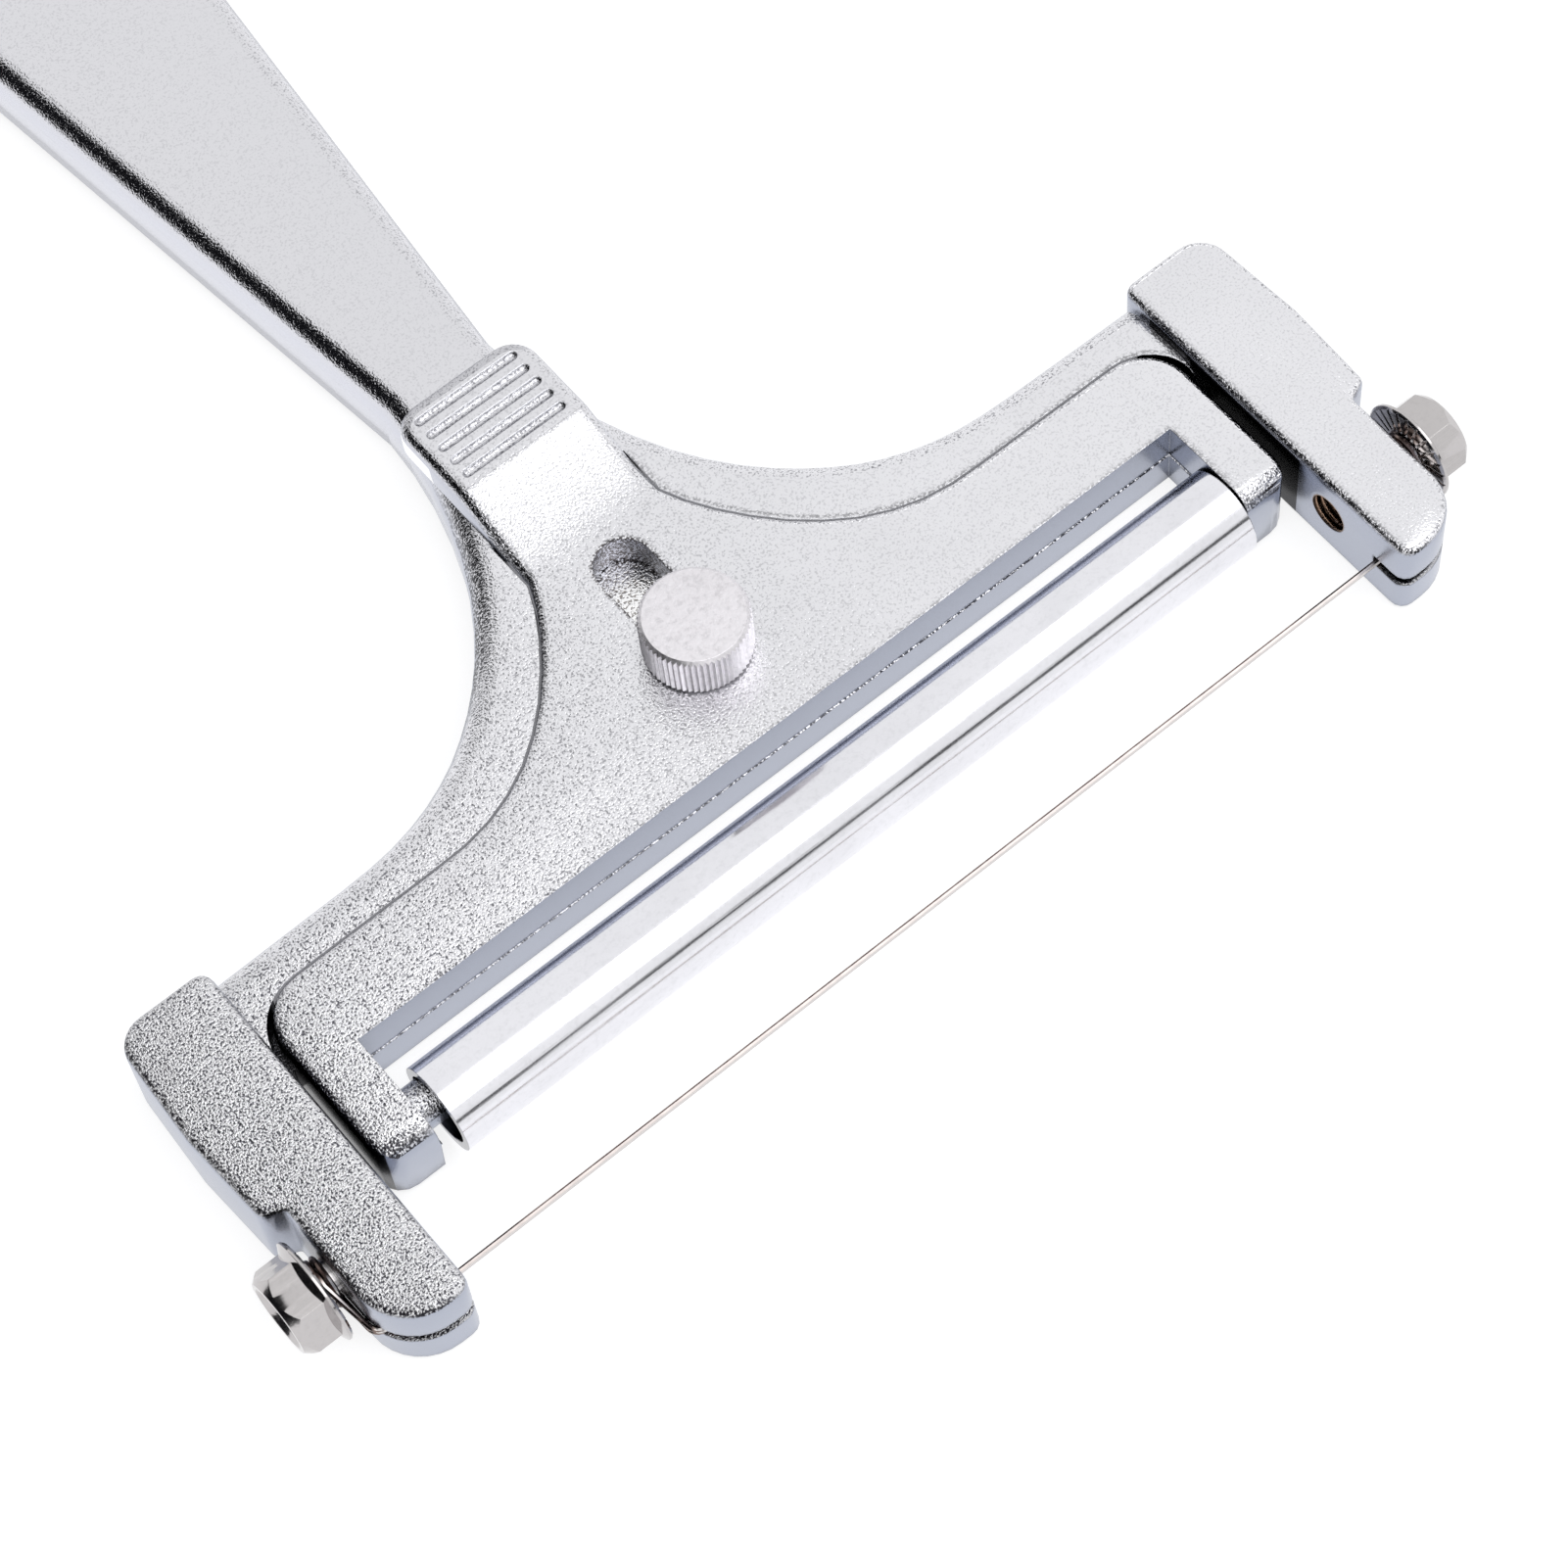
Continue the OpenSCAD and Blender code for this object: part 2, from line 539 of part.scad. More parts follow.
module cutting_wire() color("dimgrey") home()
    swept(concat([for (i = [len(wire_half) - 1:-1:0])
        [-wire_half[i][0], wire_half[i][1], wire_half[i][2]]], wire_half), wire_r, side_n);

frame_casting();
adjuster_plate();
roller_tube();
thumbscrew();
clamp_screw_left();
clamp_screw_right();
cutting_wire();
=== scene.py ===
import math

import bpy
from mathutils import Matrix, Vector


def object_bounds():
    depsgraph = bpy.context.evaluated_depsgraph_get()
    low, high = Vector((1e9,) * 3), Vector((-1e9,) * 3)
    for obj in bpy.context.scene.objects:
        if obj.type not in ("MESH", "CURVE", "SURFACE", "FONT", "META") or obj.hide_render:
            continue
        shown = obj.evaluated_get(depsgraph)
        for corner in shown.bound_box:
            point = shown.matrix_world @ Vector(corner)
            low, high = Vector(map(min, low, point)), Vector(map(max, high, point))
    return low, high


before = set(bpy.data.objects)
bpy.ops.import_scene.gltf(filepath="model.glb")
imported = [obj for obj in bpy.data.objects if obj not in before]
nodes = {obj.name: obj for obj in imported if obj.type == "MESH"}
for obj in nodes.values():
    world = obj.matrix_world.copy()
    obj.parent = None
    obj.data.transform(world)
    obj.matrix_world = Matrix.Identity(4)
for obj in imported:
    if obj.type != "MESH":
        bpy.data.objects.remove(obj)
cad_low, cad_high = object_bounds()

MM = 0.001

# Camera, fitted to the photo, which is 1601 pixels square
PHOTO_W = 1601
FOCAL_PX = 4633.2
SENSOR_MM = 36.0
CAM_CLIP = 10 * MM
CAM_AT = Vector((-0.1058, -0.2311, 0.3715))
CAM_FORWARD = Vector((0.2507, 0.3895, -0.8862))
CAM_ROLL = math.radians(-7.412)

# Places on the castings, in the frame's X and Y
HANDLE_START = (-45 * MM, -10 * MM)
# X span over which the left arm's painted shade fades out
ARM_SHADE_FADE = (-58 * MM, -45 * MM)
GRAIN_X = (-60 * MM, 30 * MM)
ARM_GRAIN_X = (-54 * MM, -56 * MM)
ARM_INNER_X = 54 * MM
TAB_FRONT = -29.5 * MM
SEAM_HALF = 51 * MM
SEAM_FRONT = -62.5 * MM
KERF_X = 53.6 * MM
KERF_HALF = 1.1 * MM
KERF_FRONT = -77.4 * MM
KERF_REAR = -56.5 * MM

# Adjusting slot, with the width of the rim of painted shade round it
SLOT_FRONT = -55.65 * MM
SLOT_REAR = -44.3 * MM
SLOT_R = 2.9 * MM
SLOT_PLAY = 0.1 * MM
RIM_FADE = (0.45 * MM, 0.05 * MM)
RIM_INSIDE = 0.3 * MM

# Bores of the clamp screws, which run along X
BORE_Y = -81.6 * MM
BORE_Z = 5.3 * MM
BORE_R = 2.15 * MM
THREAD_PITCH = 0.7 * MM

# Rounding of edges in the shading
FRAME_EDGE_R = 0.1 * MM
ARM_EDGE_R = 0.6 * MM
PLATE_EDGE_R = 0.2 * MM
ROLLER_EDGE_R = 0.15 * MM
THUMB_EDGE_R = 0.08 * MM
SCREW_EDGE_R = 0.12 * MM
# Rounding that finds the edges with a painted reflection
EDGE_REFLECTION_R = 1.2 * MM
EDGE_SAMPLES = 4
WELD_GAP = 0.001 * MM
SMOOTH_ANGLE = math.radians(40)

# Facing is the upward part of the normal: 1 on a flat top and 0 on a wall
TOP_FACING = (0.3, 0.85)
TONE_FACING = (0.3, 0.75)
WALL_FACING = 0.3
EDGE_FACING_LOW = (0.4, 0.65)
EDGE_FACING_HIGH = (0.99, 0.93)
GROOVE_FACING = 0.4
GROOVE_LEAN = 0.12
# Least facing of the edges with a painted reflection
EDGE_REFLECTION_FACING = 0.35
SLOT_FACING = 0.6
SEAM_LEAN = 0.02

# Grain of the castings: sizes as noise scales per metre, strengths as factors
PEBBLE_SCALE = 4300.0
FINE_SCALE = 9000.0
FINE_SHARE = 0.25
GRAIN_DEPTH = 0.09 * MM
HANDLE_GRAIN = 0.35
LEFT_GRAIN = 1.6
RIGHT_GRAIN = 0.3
ARM_GRAIN = 1.5
WALL_GRAIN = 0.08
EDGE_GRAIN = 1.2
HANDLE_EDGE_GRAIN = 0.75
PIT_NOISE = (0.5, 0.3)
PIT_SHARE = 0.65
PATCH_SCALE = 60.0
PATCH_NOISE = (0.35, 0.7)
PATCH_TONE = 0.96
GROOVE_SHARE = 0.6
WALL_ROUGH = 0.24
TOP_ROUGH = 0.12

# Shade in gaps, by how open a place is to the sky
GAP_REACH = 3 * MM
GAP_OPENNESS = (0.08, 0.6)
GAP_SAMPLES = 6
# Faint glow of the seam's walls: painted light
SEAM_GLOW = 0.05

# Painted reflection of dark edges: the way they look, the tilts that they cover and their raggedness
EDGE_REFLECTION_WAY = (-0.85, -0.35, 0.0)
EDGE_REFLECTION_START = (0.16, 0.34)
EDGE_REFLECTION_END = (0.76, 0.6)
EDGE_REFLECTION_NOISE = (0.62, 0.46)
RIM_NOISE = (0.62, 0.42)
RIM_SHARE = 0.9
FLOOR_NOISE = (0.36, 0.5)
THREAD_SPAN = (-0.8, 0.9)

# Tones of the castings
SILVER = (0.80, 0.80, 0.83)
# Painted shade: the left arm is toned darker where the light falls off
ARM_PAINTED_SHADE = (0.68, 0.68, 0.70)
HANDLE_SILVER = (0.71, 0.71, 0.74)
# Painted shade on faces that lean to the front or the rear, such as the tab's grooves
GROOVE_PAINTED_SHADE = (0.45, 0.45, 0.48)
# Painted shade in the pits of the grain
PIT_PAINTED_SHADE = (0.10, 0.10, 0.12)
# Walls in painted shade and painted reflection of the floor, darker and bluish, lighter on the handle
WALL_PAINTED_SHADE = (0.42, 0.445, 0.52)
HANDLE_WALL_PAINTED_SHADE = (0.68, 0.69, 0.75)
# Black for painted shade in gaps and the kerf, and for the painted reflection on dark edges
PAINTED_BLACK = (0.02, 0.02, 0.025)
# Painted light on the seam's walls, with a faint glow, so that the gap isn't black
SEAM_PAINTED_LIGHT = (0.97, 0.97, 0.98)
SEAM_GLOW_TONE = (0.8, 0.8, 0.84, 1.0)
# Painted shade on the slot's walls
SLOT_WALL_PAINTED_SHADE = (0.42, 0.43, 0.49)
SLOT_FLOOR = ((0.3, 0.28, 0.27), (0.95, 0.95, 0.96))
# Painted shade round the slot's rim
SLOT_RIM_PAINTED_SHADE = (0.06, 0.05, 0.05)
# Brown of the thread, darkened as painted shade in its grooves
THREAD_BROWN_AND_SHADE = ((0.05, 0.03, 0.02), (0.42, 0.28, 0.2))

# Drawn and turned metal: tones, noise scales and shares
ROLLER_SILVER = (0.82, 0.82, 0.86)
ROLLER_END = (0.30, 0.30, 0.32)
THUMB_SILVER = (0.78, 0.76, 0.79)
NICKEL = (0.54, 0.52, 0.52)
LINE_STRETCH = 0.02
LINE_SCALE = 2600.0
LINE_DEPTH = 0.01 * MM
THUMB_LINE_DEPTH = 0.03 * MM
LINE_NOISE = (0.25, 0.75)
LINE_ROUGHNESS = (0.8, 1.25)
BLOTCH_SCALE = 1500.0
BLOTCH_NOISE = (0.55, 0.3)
BLOTCH_TONE = 0.5
BLOTCH_HEIGHT = 3.0
SMUDGE_SCALE = 90.0
SMUDGE_TONE = 0.94
END_LEAN = 0.9

# Wire, with a painted highlight along the side that looks up and to the front
WIRE_BROWN = ((0.13, 0.09, 0.08), (0.24, 0.19, 0.17))
WIRE_PAINTED_HIGHLIGHT = (0.70, 0.67, 0.66)
WIRE_HIGHLIGHT_WAY = (0.0, -0.65, 0.76)
WIRE_HIGHLIGHT_SPAN = (0.82, 0.97)
WIRE_STAIN_SCALE = 900.0
WIRE_STAIN_NOISE = (0.35, 0.65)
WIRE_STAIN_DEPTH = 0.004 * MM
WIRE_ROUGH = 0.22

# Stage, in metres: a card's fade is the width of its soft edge at the sides, below and above
FLOOR_SIZE = (3.0, 3.0)
FLOOR_GAP = 0.05 * MM
FLOOR_TONES = ((0.36, 0.36, 0.37), (0.38, 0.38, 0.39))
FLOOR_SCALE = 40.0
FLOOR_NOISE_SPAN = (0.3, 0.7)
FLOOR_GLOW = 0.80
WHITE = (1.0, 1.0, 1.0, 1.0)
SKY_LIGHT = 0.55
SKY_SEEN = 1.0
KEY_AT = Vector((0.15, -0.4, 0.95))
KEY_SIZE = (1.0, 0.8)
KEY_RADIANCE = 1.5
FELT_BLACK = (0.01, 0.01, 0.012, 1.0)
LEFT_CARD_AT = Vector((-0.85, 0.25, 0.57))
LEFT_CARD_SIZE = (2.8, 1.32)
LEFT_CARD_FADE = (0.4, 0.02, 0.12)
FRONT_CARD_AT = Vector((0.2, -0.9, 0.27))
FRONT_CARD_SIZE = (1.6, 0.15)
FRONT_CARD_FADE = (0.2, 0.04, 0.04)
CENTRE = Vector((0, 0, 0))


class Graph:
    """A node tree, with a short method for each kind of node that the materials use."""

    def __init__(self, tree):
        self.tree = tree

    def add(self, kind, inputs=None, **props):
        node = self.tree.nodes.new(kind)
        for key, value in props.items():
            setattr(node, key, value)
        for key, value in (inputs or {}).items():
            self.feed(node.inputs[key], value)
        return node

    def feed(self, socket, value):
        if isinstance(value, bpy.types.NodeSocket):
            self.tree.links.new(value, socket)
        else:
            socket.default_value = value

    def maths(self, operation, a, b=0.0, clamp=False):
        node = self.add("ShaderNodeMath", {0: a, 1: b}, operation=operation, use_clamp=clamp)
        return node.outputs[0]

    def times(self, first, *others):
        for other in others:
            first = self.maths("MULTIPLY", first, other)
        return first

    def plus(self, a, b):
        return self.maths("ADD", a, b)

    def minus(self, a, b):
        return self.maths("SUBTRACT", a, b)

    def larger(self, a, b):
        return self.maths("MAXIMUM", a, b)

    def above(self, value, limit):
        return self.maths("GREATER_THAN", value, limit)

    def below(self, value, limit):
        return self.maths("LESS_THAN", value, limit)

    def unsigned(self, value):
        return self.maths("ABSOLUTE", value)

    def distance(self, a, b):
        return self.maths("SQRT", self.plus(self.times(a, a), self.times(b, b)))

    def span(self, value, low, high, to_low=0.0, to_high=1.0):
        """Smooth step of value from low to high."""
        return self.add("ShaderNodeMapRange", {"Value": value, "From Min": low, "From Max": high,
                                               "To Min": to_low, "To Max": to_high},
                        interpolation_type="SMOOTHSTEP").outputs[0]

    def noise(self, vector, scale, detail=2.0, roughness=0.5):
        return self.add("ShaderNodeTexNoise", {"Vector": vector, "Scale": scale, "Detail": detail,
                                               "Roughness": roughness}).outputs["Fac"]

    def mix(self, factor, a, b):
        node = self.add("ShaderNodeMix", {"Factor": factor}, data_type="RGBA")
        for socket, value in ((node.inputs[6], a), (node.inputs[7], b)):
            self.feed(socket, (*value, 1.0) if isinstance(value, tuple) else value)
        return node.outputs[2]

    def bump(self, height, depth, normal=None):
        inputs = {"Height": height, "Strength": 1.0, "Distance": depth}
        if normal is not None:
            inputs["Normal"] = normal
        return self.add("ShaderNodeBump", inputs).outputs["Normal"]

    def rounded(self, radius):
        return self.add("ShaderNodeBevel", {"Radius": radius}, samples=EDGE_SAMPLES).outputs["Normal"]

    def split(self, vector):
        return self.add("ShaderNodeSeparateXYZ", {0: vector}).outputs

    def dot(self, vector, way):
        return self.add("ShaderNodeVectorMath", {0: vector, 1: way},
                        operation="DOT_PRODUCT").outputs["Value"]


class Material(Graph):
    """A material's node tree, with the place and the normal of the shaded point."""

    def __init__(self, name):
        self.data = bpy.data.materials.new(name)
        self.data.use_nodes = True
        super().__init__(self.data.node_tree)
        self.tree.nodes.clear()
        self.out = self.add("ShaderNodeOutputMaterial")
        coord = self.add("ShaderNodeTexCoord")
        self.place = coord.outputs["Object"]
        self.normal = coord.outputs["Normal"]

    def surface(self, shader):
        self.tree.links.new(shader.outputs[0], self.out.inputs["Surface"])
        return self.data

    def metal(self, shade, rough, normal, **others):
        inputs = {"Base Color": shade, "Metallic": 1.0, "Roughness": rough, "Normal": normal}
        return self.surface(self.add("ShaderNodeBsdfPrincipled", {**inputs, **others}))


def scaled(colour, factor):
    return tuple(factor * c for c in colour)


# Castings: pebbled on the faces that look up, smooth on the walls
class Casting(Material):
    """Satin plated casting, built up in layers of tone and one layer of grain."""

    def __init__(self, name):
        super().__init__(name)
        self.x, self.y, self.z = self.split(self.place)
        _, self.look_y, self.facing = self.split(self.normal)
        self.top = self.span(self.facing, *TOP_FACING)
        self.steep = self.below(self.facing, WALL_FACING)
        self.pebble = self.noise(self.place, PEBBLE_SCALE, detail=1.0)

    def grooves(self, start):
        """Faces behind start that lean to the front or the rear, such as the tab's grooves."""
        leaning = self.above(self.unsigned(self.look_y), GROOVE_LEAN)
        return self.times(self.above(self.facing, GROOVE_FACING), leaning,
                          self.above(self.y, start))

    def grain_amount(self, grooves):
        """Strongest at the left, weak on the handle, and strong again on rounded edges."""
        near = self.span(self.y, *HANDLE_START, 1.0, HANDLE_GRAIN)
        side = self.times(self.span(self.x, *GRAIN_X, LEFT_GRAIN, RIGHT_GRAIN),
                          self.span(self.x, *ARM_GRAIN_X, 1.0, ARM_GRAIN))
        flat = self.times(near, side, self.span(self.top, 0.0, 1.0, WALL_GRAIN, 1.0))
        edge = self.times(self.span(self.facing, *EDGE_FACING_LOW),
                          self.span(self.facing, *EDGE_FACING_HIGH),
                          self.span(self.y, *HANDLE_START, EDGE_GRAIN, HANDLE_EDGE_GRAIN))
        return self.larger(self.larger(flat, edge), grooves)

    def tones(self, grooves, amount):
        """Tops with painted shade in the pits of their grain, on leaning grooves and on the left arm,
        and smooth walls in a darker bluish painted shade.
        """
        patch = self.span(self.noise(self.place, PATCH_SCALE, detail=3.0), *PATCH_NOISE)
        on_handle = self.span(self.y, *HANDLE_START)
        tone = self.mix(patch, SILVER, scaled(SILVER, PATCH_TONE))
        tone = self.mix(on_handle, tone, HANDLE_SILVER)
        # Painted shade on the faces that lean to the front or the rear
        tone = self.mix(self.times(grooves, GROOVE_SHARE), tone, GROOVE_PAINTED_SHADE)
        # Painted shade: the left arm darkens towards its outer side
        tone = self.mix(self.span(self.x, *ARM_SHADE_FADE), ARM_PAINTED_SHADE, tone)
        # Pits follow the real grain, but their dark tone is painted shade, made strongest at the left
        # and on rounded edges
        pit_shade = self.times(self.span(self.pebble, *PIT_NOISE), amount)
        tone = self.mix(self.maths("MULTIPLY", pit_shade, PIT_SHARE, clamp=True), tone, PIT_PAINTED_SHADE)
        painted_walls = self.mix(on_handle, WALL_PAINTED_SHADE, HANDLE_WALL_PAINTED_SHADE)
        return self.mix(self.span(self.facing, *TONE_FACING), painted_walls, tone)

    def gaps(self, shade):
        """Dark where little of the sky is seen."""
        sky = self.add("ShaderNodeAmbientOcclusion", {"Distance": GAP_REACH},
                       samples=GAP_SAMPLES, only_local=False).outputs["AO"]
        return self.mix(self.span(sky, *GAP_OPENNESS), PAINTED_BLACK, shade)

    def seam(self, side):
        """Walls of the seam between plate and yoke, which get painted light: side is the way along Y
        that they look.
        """
        inward = self.above(self.times(self.look_y, side), SEAM_LEAN)
        across = self.below(self.unsigned(self.x), SEAM_HALF)
        return self.times(inward, self.steep, across, self.above(self.y, SEAM_FRONT))

    def kerf_shade(self):
        """Walls of the gap between each lug and its arm, painted black as shade."""
        beside = self.below(self.unsigned(self.minus(self.unsigned(self.x), KERF_X)), KERF_HALF)
        return self.times(self.steep, beside, self.above(self.y, KERF_FRONT),
                          self.below(self.y, KERF_REAR))

    def slot_shade_and_floor(self, shade):
        """Walls and a ragged dark rim of the adjusting slot in painted shade, and a bright grainy
        floor.
        """
        past_end = self.larger(self.minus(self.y, SLOT_REAR), self.minus(SLOT_FRONT, self.y))
        away = self.distance(self.larger(past_end, 0.0), self.x)
        wall = self.times(self.below(away, SLOT_R + SLOT_PLAY), self.below(self.facing, SLOT_FACING))
        shade = self.mix(wall, shade, SLOT_WALL_PAINTED_SHADE)
        floor = self.times(self.below(away, SLOT_R), self.above(self.facing, SLOT_FACING))
        shade = self.mix(floor, shade, self.mix(self.span(self.pebble, *FLOOR_NOISE), *SLOT_FLOOR))
        rim = self.times(self.span(away, SLOT_R + RIM_FADE[0], SLOT_R + RIM_FADE[1]),
                         self.above(away, SLOT_R - RIM_INSIDE),
                         self.span(self.pebble, *RIM_NOISE), RIM_SHARE)
        return self.mix(rim, shade, SLOT_RIM_PAINTED_SHADE)

    def painted_edge_reflection(self, shade):
        """Painted reflection: a ragged dark line along the edges that look to the left and the front.
        """
        lean = self.dot(self.rounded(EDGE_REFLECTION_R), EDGE_REFLECTION_WAY)
        band = self.times(self.span(lean, *EDGE_REFLECTION_START), self.span(lean, *EDGE_REFLECTION_END),
                          self.span(self.pebble, *EDGE_REFLECTION_NOISE),
                          self.above(self.facing, EDGE_REFLECTION_FACING),
                          self.span(self.y, *HANDLE_START, 1.0, 0.0))
        return self.mix(band, shade, PAINTED_BLACK)

    def thread(self, shade, grain):
        """Brown thread inside the bores of the clamp screws, with painted shade in the grooves
        between its ridges.
        """
        dy = self.minus(self.y, BORE_Y)
        dz = self.minus(self.z, BORE_Z)
        inside = self.below(self.distance(dy, dz), BORE_R)
        advance = self.times(self.x, 2 * math.pi / THREAD_PITCH)
        ridge = self.maths("SINE", self.plus(self.maths("ARCTAN2", dy, dz), advance))
        # Painted shade in the thread's grooves, brown on its ridges
        brown = self.mix(self.span(ridge, *THREAD_SPAN), *THREAD_BROWN_AND_SHADE)
        return self.mix(inside, shade, brown), self.plus(grain, self.times(inside, ridge))

    def soft_edges(self, edge_r):
        """Normal of rounded edges, wider on the arms."""
        on_arm = self.above(self.unsigned(self.x), ARM_INNER_X)
        return self.rounded(self.span(on_arm, 0.0, 1.0, edge_r, ARM_EDGE_R))


def cast_metal(name, edge_r, seam_side, grooves_from, threaded):
    cast = Casting(name)
    grooves = cast.grooves(grooves_from)
    amount = cast.grain_amount(grooves)
    fine = cast.times(cast.noise(cast.place, FINE_SCALE, detail=1.0), FINE_SHARE)
    grain = cast.times(cast.plus(cast.pebble, fine), amount)
    seam = cast.seam(seam_side)
    shade = cast.gaps(cast.tones(grooves, amount))
    # Painted light: the seam's walls are toned bright
    shade = cast.mix(seam, shade, SEAM_PAINTED_LIGHT)
    # Painted shade: the kerf's walls are black
    shade = cast.mix(cast.kerf_shade(), shade, PAINTED_BLACK)
    # Painted shade on the slot's walls and rim, and a painted reflection along the edges that look
    # left and front
    shade = cast.painted_edge_reflection(cast.slot_shade_and_floor(shade))
    if threaded:
        shade, grain = cast.thread(shade, grain)
    rough = cast.span(cast.top, 0.0, 1.0, WALL_ROUGH, TOP_ROUGH)
    normal = cast.bump(grain, GRAIN_DEPTH, cast.soft_edges(edge_r))
    # Painted light: the seam's walls glow faintly
    glow = {"Emission Color": SEAM_GLOW_TONE, "Emission Strength": cast.times(seam, SEAM_GLOW)}
    return cast.metal(shade, rough, normal, **glow)


# Drawn and turned pieces
def drawn_metal(name, colour, roughness, axis, edge_r, depth, mottle, end_colour=None):
    """Smooth metal with fine lines along one axis.

    mottle is the strength of a fine blotchy surface, end_colour the tone of the sawn ends."""
    mat = Material(name)
    stretch = [1.0, 1.0, 1.0]
    stretch[axis] = LINE_STRETCH
    lines = mat.add("ShaderNodeMapping", {"Vector": mat.place, "Scale": stretch}).outputs[0]
    fine = mat.noise(lines, LINE_SCALE, detail=3.0)
    blotch = mat.noise(mat.place, BLOTCH_SCALE, detail=4.0, roughness=0.7)
    smudge = mat.span(mat.noise(mat.place, SMUDGE_SCALE, detail=3.0), *PATCH_NOISE)
    shade = mat.mix(smudge, colour, scaled(colour, SMUDGE_TONE))
    dark = mat.times(mat.span(blotch, *BLOTCH_NOISE), mottle)
    shade = mat.mix(dark, shade, scaled(colour, BLOTCH_TONE))
    if end_colour:
        end = mat.above(mat.unsigned(mat.split(mat.normal)[axis]), END_LEAN)
        shade = mat.mix(end, shade, end_colour)
    rough = mat.span(fine, *LINE_NOISE, *scaled(LINE_ROUGHNESS, roughness))
    height = mat.plus(fine, mat.times(blotch, BLOTCH_HEIGHT * mottle))
    return mat.metal(shade, rough, mat.bump(height, depth, mat.rounded(edge_r)))


def clamp_screw_metal(name):
    return drawn_metal(name, NICKEL, roughness=0.13, axis=0, edge_r=SCREW_EDGE_R, depth=LINE_DEPTH,
                       mottle=0.1)


def wire_metal(name):
    """Brown drawn wire with a painted highlight on one side."""
    mat = Material(name)
    stain = mat.noise(mat.place, WIRE_STAIN_SCALE, detail=3.0)
    brown = mat.mix(mat.span(stain, *WIRE_STAIN_NOISE), *WIRE_BROWN)
    # Painted highlight on the side that looks up and to the front
    highlight = mat.span(mat.dot(mat.normal, WIRE_HIGHLIGHT_WAY), *WIRE_HIGHLIGHT_SPAN)
    shade = mat.mix(highlight, brown, WIRE_PAINTED_HIGHLIGHT)
    return mat.metal(shade, WIRE_ROUGH, mat.bump(stain, WIRE_STAIN_DEPTH))


materials = {
    "frame_casting": cast_metal("cast_frame", edge_r=FRAME_EDGE_R, seam_side=-1.0, grooves_from=0.0,
                                threaded=True),
    "adjuster_plate": cast_metal("cast_plate", edge_r=PLATE_EDGE_R, seam_side=1.0,
                                 grooves_from=TAB_FRONT, threaded=False),
    "roller_tube": drawn_metal("roller_metal", ROLLER_SILVER, roughness=0.13, axis=0,
                               edge_r=ROLLER_EDGE_R, depth=LINE_DEPTH, mottle=0.12,
                               end_colour=ROLLER_END),
    "thumbscrew": drawn_metal("thumbscrew_metal", THUMB_SILVER, roughness=0.38, axis=2,
                              edge_r=THUMB_EDGE_R, depth=THUMB_LINE_DEPTH, mottle=0.35),
    "clamp_screw_left": clamp_screw_metal("clamp_left_metal"),
    "clamp_screw_right": clamp_screw_metal("clamp_right_metal"),
    "cutting_wire": wire_metal("wire_metal"),
}


# Smooth shading of the CAD meshes, split at real edges
def smoothing_group(angle):
    group = bpy.data.node_groups.new("smooth_by_angle", "GeometryNodeTree")
    for in_out in ("INPUT", "OUTPUT"):
        group.interface.new_socket("Geometry", in_out=in_out, socket_type="NodeSocketGeometry")
    graph = Graph(group)
    mesh = graph.add("NodeGroupInput").outputs[0]
    turn = graph.add("GeometryNodeInputMeshEdgeAngle").outputs[0]
    sharp = graph.add("FunctionNodeCompare", {0: turn, 1: angle}, data_type="FLOAT",
                      operation="GREATER_THAN").outputs[0]
    faces = graph.add("GeometryNodeSetShadeSmooth", {"Geometry": mesh, "Shade Smooth": True},
                      domain="FACE").outputs[0]
    edges = graph.add("GeometryNodeSetShadeSmooth",
                      {"Geometry": faces, "Selection": sharp, "Shade Smooth": False},
                      domain="EDGE").outputs[0]
    graph.add("NodeGroupOutput", {0: edges})
    return group


smooth = smoothing_group(SMOOTH_ANGLE)
for name, obj in nodes.items():
    if "custom_normal" in obj.data.attributes:
        obj.data.attributes.remove(obj.data.attributes["custom_normal"])
    weld = obj.modifiers.new("weld", "WELD")
    weld.merge_threshold = WELD_GAP
    shade = obj.modifiers.new("shade", "NODES")
    shade.node_group = smooth
    obj.data.materials.clear()
    obj.data.materials.append(materials[name])


# Stage: floor, background and light
def plane(name, size, material):
    w, h = size[0] / 2, size[1] / 2
    mesh = bpy.data.meshes.new(name)
    mesh.from_pydata([(-w, -h, 0), (w, -h, 0), (w, h, 0), (-w, h, 0)], [], [(0, 1, 2, 3)])
    mesh.materials.append(material)
    obj = bpy.data.objects.new(name, mesh)
    bpy.context.scene.collection.objects.link(obj)
    return obj


def floor_paper():
    mat = Material("floor_paper")
    cloud = mat.span(mat.noise(mat.place, FLOOR_SCALE), *FLOOR_NOISE_SPAN)
    paper = mat.add("ShaderNodeBsdfDiffuse", {"Color": mat.mix(cloud, *FLOOR_TONES)}).outputs[0]
    glow = mat.add("ShaderNodeEmission", {"Color": WHITE, "Strength": FLOOR_GLOW}).outputs[0]
    return mat.surface(mat.add("ShaderNodeAddShader", {0: paper, 1: glow}))


def make_floor():
    floor = plane("floor", FLOOR_SIZE, floor_paper())
    floor.location.z = cad_low.z - FLOOR_GAP


def make_world():
    """Studio sky, white for rays that come from the camera, a mirror or glass."""
    world = bpy.data.worlds.new("studio")
    bpy.context.scene.world = world
    world.use_nodes = True
    world.node_tree.nodes.clear()
    sky = Graph(world.node_tree)
    ray = sky.add("ShaderNodeLightPath").outputs
    direct = sky.larger(ray["Is Camera Ray"],
                        sky.larger(ray["Is Glossy Ray"], ray["Is Transmission Ray"]))
    strength = sky.span(direct, 0.0, 1.0, SKY_LIGHT, SKY_SEEN)
    back = sky.add("ShaderNodeBackground", {"Color": WHITE, "Strength": strength}).outputs[0]
    sky.add("ShaderNodeOutputWorld", {"Surface": back})


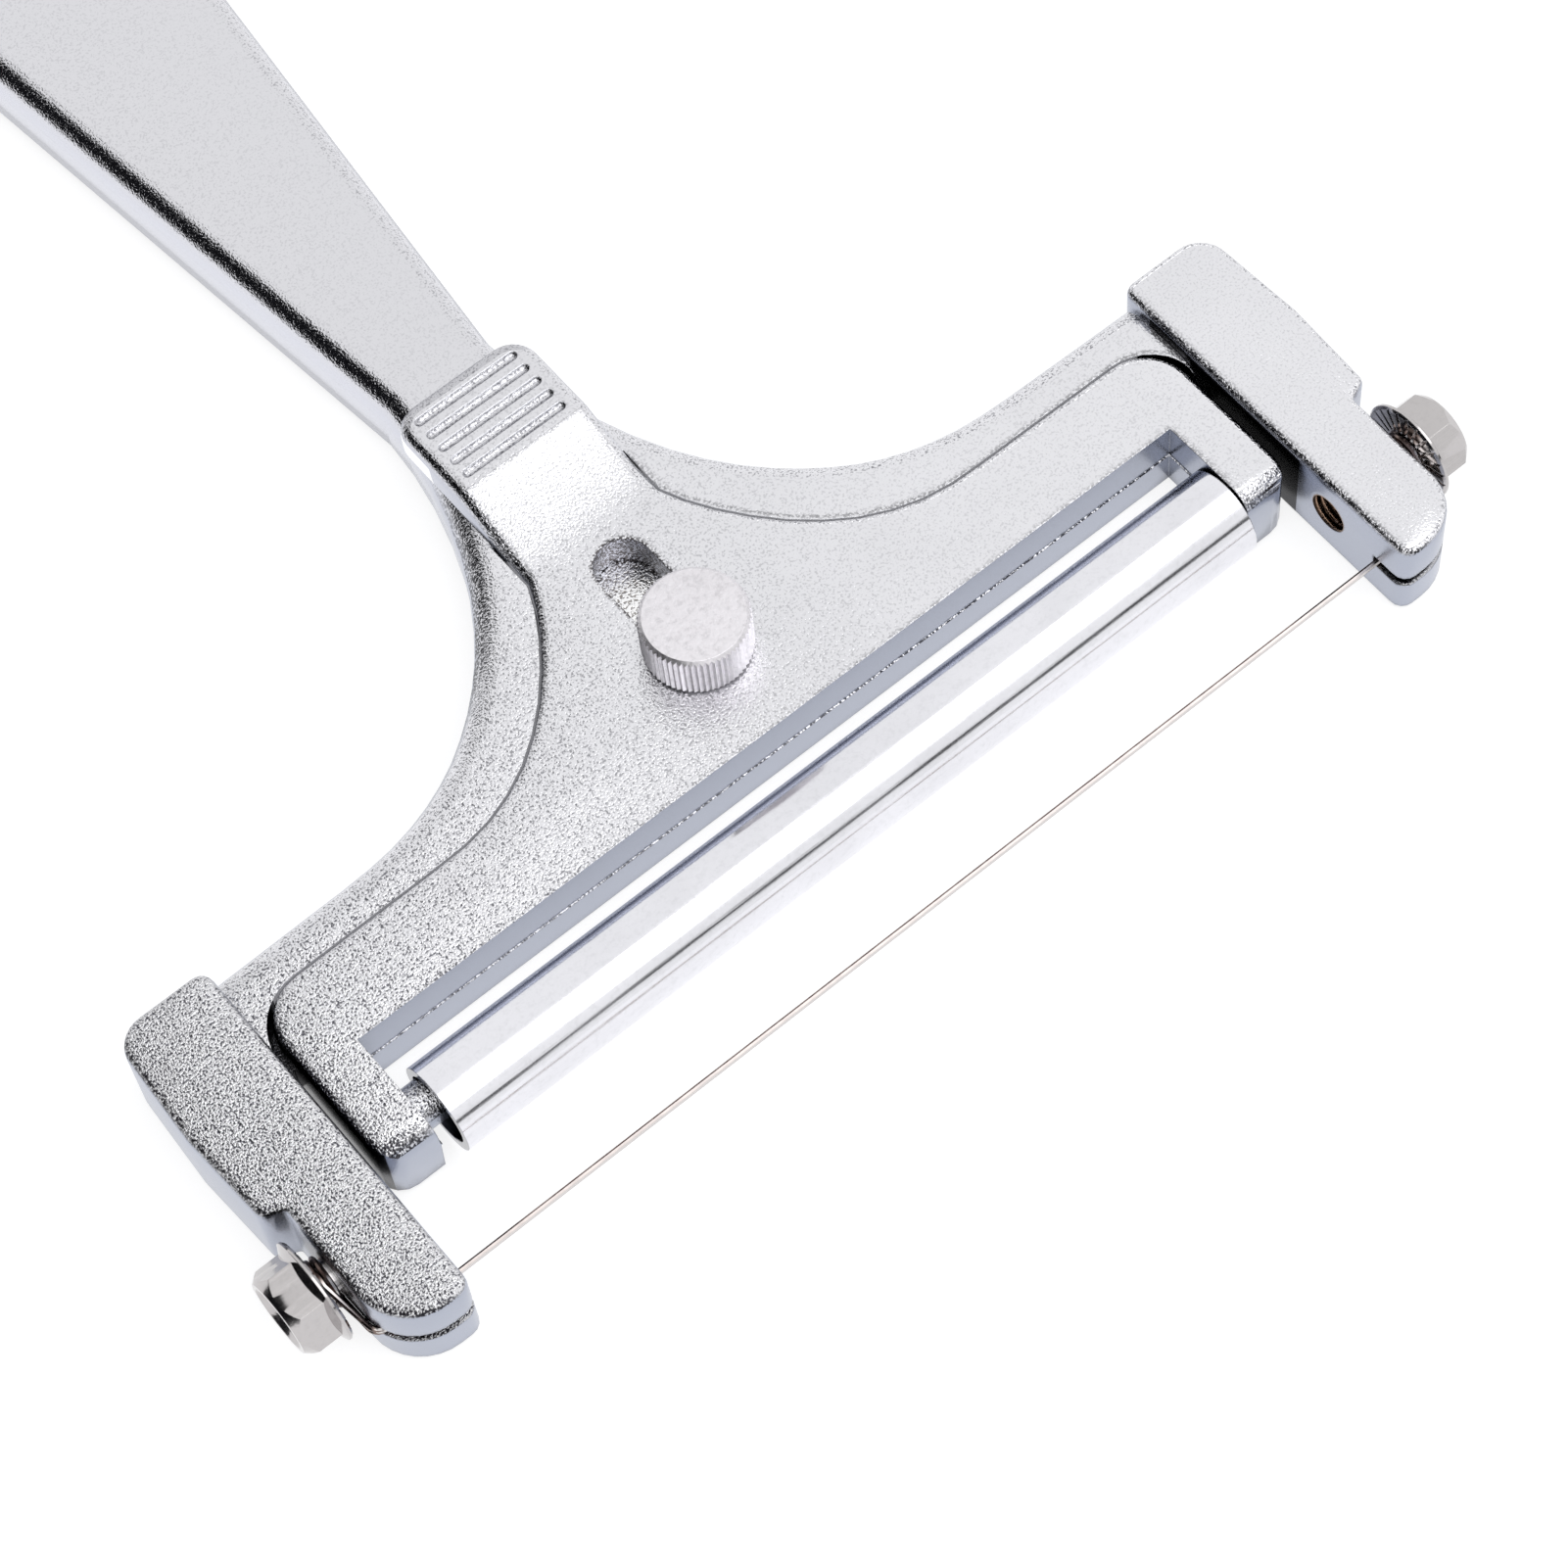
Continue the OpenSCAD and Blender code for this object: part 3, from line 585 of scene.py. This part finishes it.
def key_light():
    data = bpy.data.lights.new("key", "AREA")
    data.shape = "RECTANGLE"
    data.size, data.size_y = KEY_SIZE
    data.energy = KEY_RADIANCE * math.pi * KEY_SIZE[0] * KEY_SIZE[1]
    obj = bpy.data.objects.new("key", data)
    bpy.context.scene.collection.objects.link(obj)
    obj.location = KEY_AT
    obj.rotation_euler = (CENTRE - KEY_AT).to_track_quat("-Z", "Y").to_euler()


def card_felt(name, size, soft):
    """Black felt that fades to nothing at the sides, the lower and the upper edge."""
    mat = Material(name)
    x, y, _ = mat.split(mat.place)
    w, h = size[0] / 2, size[1] / 2
    side, lower, upper = soft
    fade = mat.times(mat.span(mat.unsigned(x), w - side, w, 1.0, 0.0),
                     mat.span(y, -h, lower - h), mat.span(y, h - upper, h, 1.0, 0.0))
    clear = mat.add("ShaderNodeBsdfTransparent").outputs[0]
    felt = mat.add("ShaderNodeBsdfDiffuse", {"Color": FELT_BLACK}).outputs[0]
    return mat.surface(mat.add("ShaderNodeMixShader", {0: fade, 1: clear, 2: felt}))


def dark_card(name, at, size, soft):
    """Black card beside the set with soft edges, seen only in reflections."""
    card = plane(name, size, card_felt(name + "_felt", size, soft))
    card.location = at
    card.rotation_euler = (CENTRE - at).to_track_quat("Z", "Y").to_euler()
    card.visible_camera = False
    card.visible_shadow = False
    card.visible_diffuse = False


make_floor()
make_world()
key_light()
dark_card("card_left", LEFT_CARD_AT, LEFT_CARD_SIZE, LEFT_CARD_FADE)
dark_card("card_front", FRONT_CARD_AT, FRONT_CARD_SIZE, FRONT_CARD_FADE)


# Camera
def make_camera():
    data = bpy.data.cameras.new("camera")
    data.sensor_width = SENSOR_MM
    data.lens = SENSOR_MM * FOCAL_PX / PHOTO_W
    data.clip_start = CAM_CLIP
    cam = bpy.data.objects.new("camera", data)
    bpy.context.scene.collection.objects.link(cam)
    forward = CAM_FORWARD.normalized()
    flat_right = forward.cross(Vector((0, 0, 1))).normalized()
    flat_up = flat_right.cross(forward)
    right = math.cos(CAM_ROLL) * flat_right + math.sin(CAM_ROLL) * flat_up
    up = -math.sin(CAM_ROLL) * flat_right + math.cos(CAM_ROLL) * flat_up
    turn = Matrix((right, up, -forward)).transposed()
    cam.matrix_world = Matrix.Translation(CAM_AT) @ turn.to_4x4()
    bpy.context.scene.camera = cam


make_camera()
bpy.context.scene.view_settings.view_transform = "Standard"
